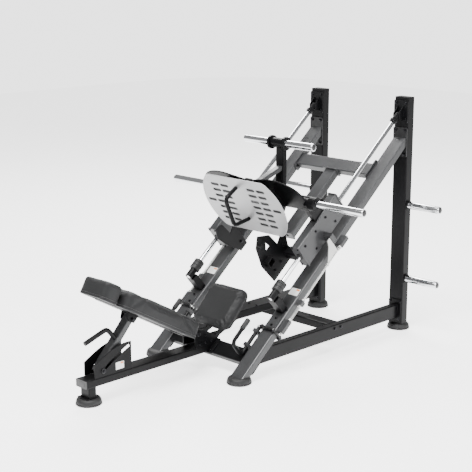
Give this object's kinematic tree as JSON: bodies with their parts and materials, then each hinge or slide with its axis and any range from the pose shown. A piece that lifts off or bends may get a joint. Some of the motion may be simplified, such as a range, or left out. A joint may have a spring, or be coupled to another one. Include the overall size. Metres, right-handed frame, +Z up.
{
  "type": "leg press machine",
  "caption": "Inclined leg press: footplate sled on chrome guide rods, seat with adjustable backrest, safety catches with release levers, weight horns and storage horns.",
  "frame": {"origin": "on the floor, under the middle of the machine's bounding box", "axes": "+Z up, +Y from the head rest towards the uprights, +X to the right of the person on the seat"},
  "size_m": [1.662, 2.5626, 1.6],
  "materials": {
    "powder_black": "satin",
    "powder_grey": "satin",
    "plate_silver": "satin",
    "chrome": "polished",
    "zinc_steel": "satin",
    "rubber": "matt",
    "leatherette": "grained"
  },
  "bodies": {
    "frame": {"front_foot": "rubber", "left_leg_foot": "rubber", "right_leg_foot": "rubber", "left_rear_foot": "rubber", "right_rear_foot": "rubber", "left_bumper": "rubber", "right_bumper": "rubber", "left_upright": "powder_black", "right_upright": "powder_black", "left_base_beam": "powder_black", "right_base_beam": "powder_black", "rear_cross_beam": "powder_black", "front_cross_beam": "powder_black", "centre_beam": "powder_black", "seat_beam": "powder_black", "seat_frame": "powder_black", "left_quadrant": "powder_black", "right_quadrant": "powder_black", "left_rod_block": "powder_black", "right_rod_block": "powder_black", "left_rod_bracket": "powder_black", "right_rod_bracket": "powder_black", "left_leg": "powder_grey", "right_leg": "powder_grey", "left_rail": "powder_grey", "right_rail": "powder_grey", "top_cross_beam": "powder_grey", "centre_bar": "powder_grey", "left_guide_rod": "chrome", "right_guide_rod": "chrome", "left_low_storage_horn": "chrome", "left_high_storage_horn": "chrome", "right_low_storage_horn": "chrome", "right_high_storage_horn": "chrome", "seat_pad": "leatherette"},
    "sled": {"left_bearing_housing": "powder_grey", "right_bearing_housing": "powder_grey", "left_low_bearing": "zinc_steel", "left_high_bearing": "zinc_steel", "right_low_bearing": "zinc_steel", "right_high_bearing": "zinc_steel", "sled_cross_frame": "powder_black", "footplate_frame": "powder_black", "arch_plate": "powder_black", "footplate": "plate_silver", "hoop_handle": "powder_black", "left_weight_horn": "chrome", "right_weight_horn": "chrome", "top_weight_horn": "chrome", "sled_post": "powder_black", "sled_brace": "powder_grey"},
    "backrest": {"back_pad": "leatherette", "head_pad": "leatherette", "backrest_frame": "powder_black"},
    "strut": {"strut_tube": "powder_grey", "strut_handle": "powder_black"},
    "left_catch": {"left_safety_catch": "zinc_steel"},
    "right_catch": {"right_safety_catch": "zinc_steel"},
    "left_lever": {"left_release_lever": "powder_black"},
    "right_lever": {"right_release_lever": "powder_black"}
  },
  "joints": [
    {"name": "sled_slide", "type": "slide", "parent": "frame", "child": "sled", "axis": [0, 0.7658, 0.6431], "range_m": [0, 0.62]},
    {"name": "backrest_tilt", "type": "hinge", "parent": "frame", "child": "backrest", "pos_m": [0, -0.4, 0.246], "axis": [-1, 0, 0], "range_deg": [0, 20]},
    {"name": "strut_turn", "type": "hinge", "parent": "backrest", "child": "strut", "pos_m": [0, -0.902, 0.447], "axis": [1, 0, 0], "range_deg": [0, 37]},
    {"name": "left_catch_turn", "type": "hinge", "parent": "frame", "child": "left_catch", "pos_m": [-0.45, 0.23632, 0.52718], "axis": [0, -0.7658, -0.6431], "range_deg": [0, 45]},
    {"name": "right_catch_turn", "type": "hinge", "parent": "frame", "child": "right_catch", "pos_m": [0.45, 0.23632, 0.52718], "axis": [0, 0.7658, 0.6431], "range_deg": [0, 45]},
    {"name": "left_lever_turn", "type": "hinge", "parent": "frame", "child": "left_lever", "pos_m": [-0.306, -0.17068, 0.23434], "axis": [0, -0.7658, -0.6431], "range_deg": [0, 35.1]},
    {"name": "right_lever_turn", "type": "hinge", "parent": "frame", "child": "right_lever", "pos_m": [0.306, -0.17068, 0.23434], "axis": [0, 0.7658, 0.6431], "range_deg": [0, 35.1]}
  ],
  "couplings": [
    {"joint": "strut_turn", "follows": "backrest_tilt", "ratio": 1.84},
    {"joint": "left_lever_turn", "follows": "left_catch_turn", "ratio": 0.7778},
    {"joint": "right_lever_turn", "follows": "right_catch_turn", "ratio": 0.7778}
  ]
}
